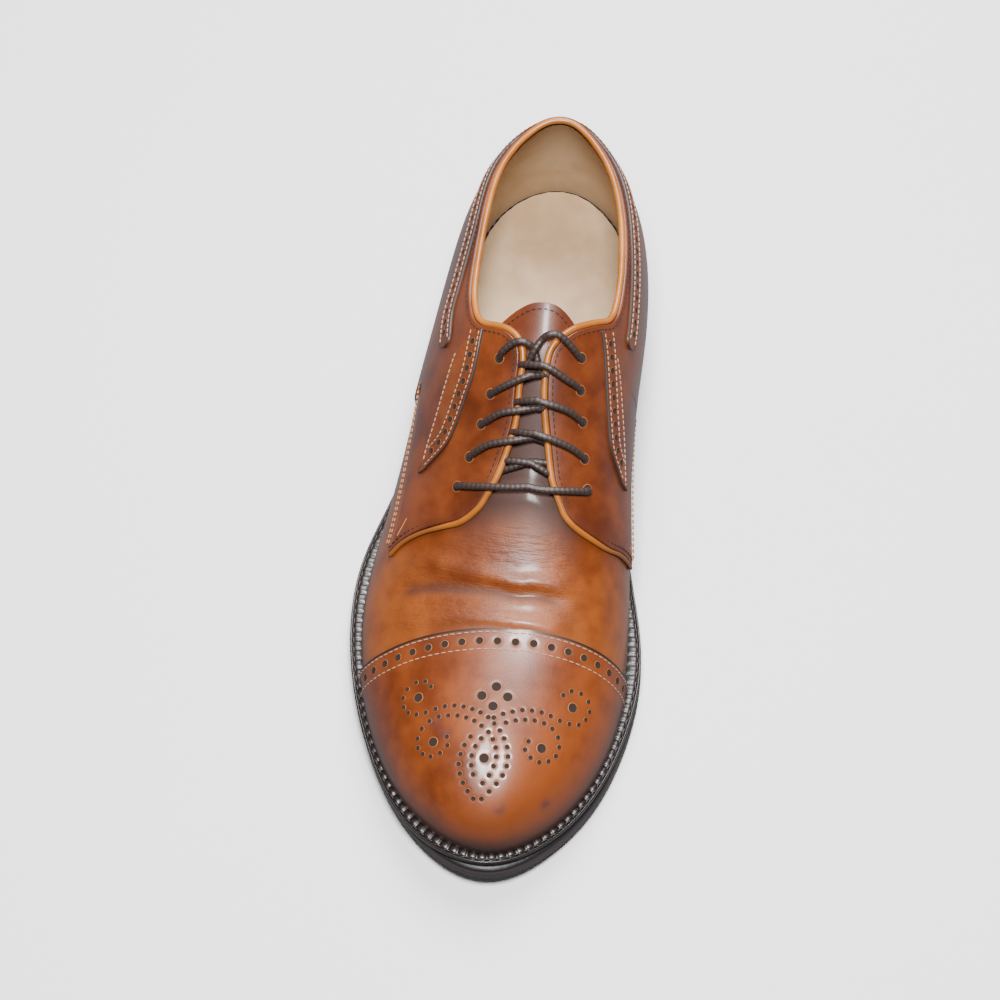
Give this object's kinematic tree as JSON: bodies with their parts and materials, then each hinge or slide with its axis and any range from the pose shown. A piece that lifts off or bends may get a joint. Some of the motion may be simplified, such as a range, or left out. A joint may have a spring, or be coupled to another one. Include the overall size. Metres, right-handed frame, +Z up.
{
  "type": "lace-up derby shoe",
  "caption": "Round-toed open-laced leather shoe with a perforated toe cap, storm welt, rubber sole and low heel.",
  "frame": {"origin": "on the floor under the middle of the shoe's bounding box", "axes": "+Z up, the toe points along -Y, the wearer's outer side is -X on this right shoe"},
  "size_m": [0.1166, 0.2992, 0.1089],
  "materials": {
    "tan_leather": "waxed smooth calf, satin, darker at seams and toe",
    "binding_leather": "rolled edge, satin",
    "lining_leather": "undyed, matt",
    "dark_edge": "stained and burnished edge with stitching",
    "sole_rubber": "moulded, matt",
    "lace_cord": "round braided cotton, waxed"
  },
  "bodies": {
    "root": {"outsole": "sole_rubber", "heel_top_lift": "sole_rubber", "heel_stack": "dark_edge", "welt": "dark_edge", "insole": "lining_leather", "upper": "tan_leather", "tongue": "tan_leather", "quarter_lateral": "tan_leather", "quarter_medial": "tan_leather", "toe_cap": "tan_leather", "leaf_lateral": "tan_leather", "leaf_medial": "tan_leather", "counter_band": "tan_leather", "collar_bead": "binding_leather", "lace_top": "lace_cord", "lace_cross_1": "lace_cord", "lace_cross_2": "lace_cord", "lace_cross_3": "lace_cord", "lace_bar": "lace_cord"}
  },
  "joints": []
}
